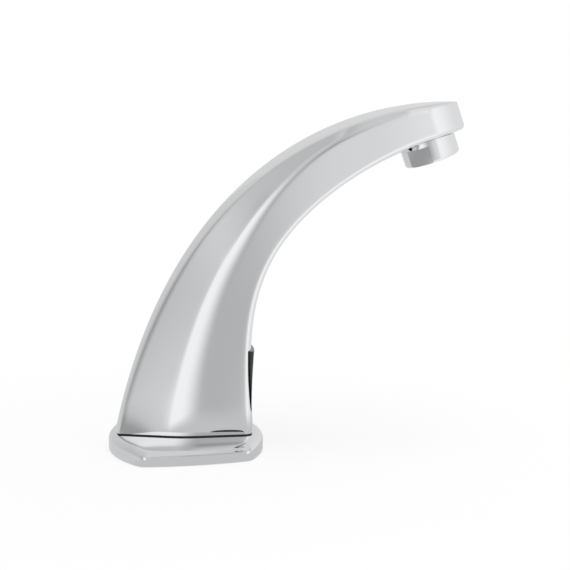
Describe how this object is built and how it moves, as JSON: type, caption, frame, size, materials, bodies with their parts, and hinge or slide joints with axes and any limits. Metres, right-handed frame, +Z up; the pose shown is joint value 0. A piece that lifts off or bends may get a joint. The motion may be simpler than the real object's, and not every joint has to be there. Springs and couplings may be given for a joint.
{
  "type": "sensor tap",
  "caption": "Touch-free basin tap with an arched, tapering chrome spout on a cushion-shaped base plate, a dark sensor window low on its front and an aerator under its nose.",
  "frame": {"origin": "centre of the water inlet, level with the underside of the base plate where the tap meets the basin", "axes": "+X forward to the outlet, +Z up, -Z down the inlet; the tap is the same left and right of Y = 0"},
  "size_m": [0.1544, 0.064, 0.1447],
  "materials": {
    "chrome_plate": "polished chrome plate",
    "brass": "machined brass",
    "black_rubber": "moulded seal",
    "grey_rubber": "fabric-backed diaphragm",
    "window_black": "polished infrared-passing plastic",
    "white_plastic": "moulded acetal",
    "black_plastic": "moulded glass-filled nylon",
    "steel": "stainless steel",
    "magnet_dark": "nickelled magnet",
    "copper_wire": null,
    "board_green": "circuit board",
    "ir_clear": "tinted clear epoxy",
    "ir_dark": "dark infrared epoxy",
    "led_red": "red diffused epoxy",
    "lead_red": "insulated lead"
  },
  "bodies": {
    "tap": {"base_plate": "chrome_plate", "deck_gasket": "black_rubber", "body_gasket": "black_rubber", "spout_shell": "chrome_plate", "sensor_window": "window_black", "window_seal": "black_rubber", "mounting_foot": "brass", "foot_screws": "steel", "cable_grommet": "black_rubber", "inlet_filter": "steel", "valve_body": "white_plastic", "valve_o_ring": "black_rubber", "diaphragm": "grey_rubber", "valve_bonnet": "brass", "valve_screws": "steel", "plunger_spring": "steel", "latch_magnet": "magnet_dark", "coil_bobbin": "black_plastic", "coil_winding": "copper_wire", "coil_yoke": "steel", "water_tube": "steel", "tube_o_ring": "black_rubber", "tube_nut": "brass", "outlet_adapter": "brass", "adapter_o_ring": "black_rubber", "sensor_housing": "black_plastic", "sensor_screws": "steel", "sensor_board": "board_green", "ir_emitter": "ir_clear", "ir_receiver": "ir_dark", "status_led": "led_red", "coil_lead": "lead_red"},
    "plunger": {"plunger": "steel"},
    "aerator_core": {"aerator_insert": "white_plastic", "aerator_screen": "steel", "aerator_washer": "black_rubber"},
    "aerator_ring": {"aerator_housing": "chrome_plate"}
  },
  "joints": [
    {"name": "plunger_lift", "type": "slide", "parent": "tap", "child": "plunger", "axis": [0, 0, 1], "range_m": [0, 0.0012], "stiffness_N_per_m": 800, "springref_m": -0.001, "deforming": ["plunger_spring", "diaphragm"]},
    {"name": "aerator_travel", "type": "slide", "parent": "tap", "child": "aerator_core", "axis": [0.3338, 0, -0.9426], "range_m": [0, 0.0036]},
    {"name": "aerator_turn", "type": "hinge", "parent": "aerator_core", "child": "aerator_ring", "pos_m": [0.1108, 0, 0.1202], "axis": [0.3338, 0, -0.9426], "range_deg": [0, 1260]}
  ],
  "couplings": [
    {"joint": "aerator_travel", "follows": "aerator_turn", "m_per_rad": 0.00015915}
  ]
}
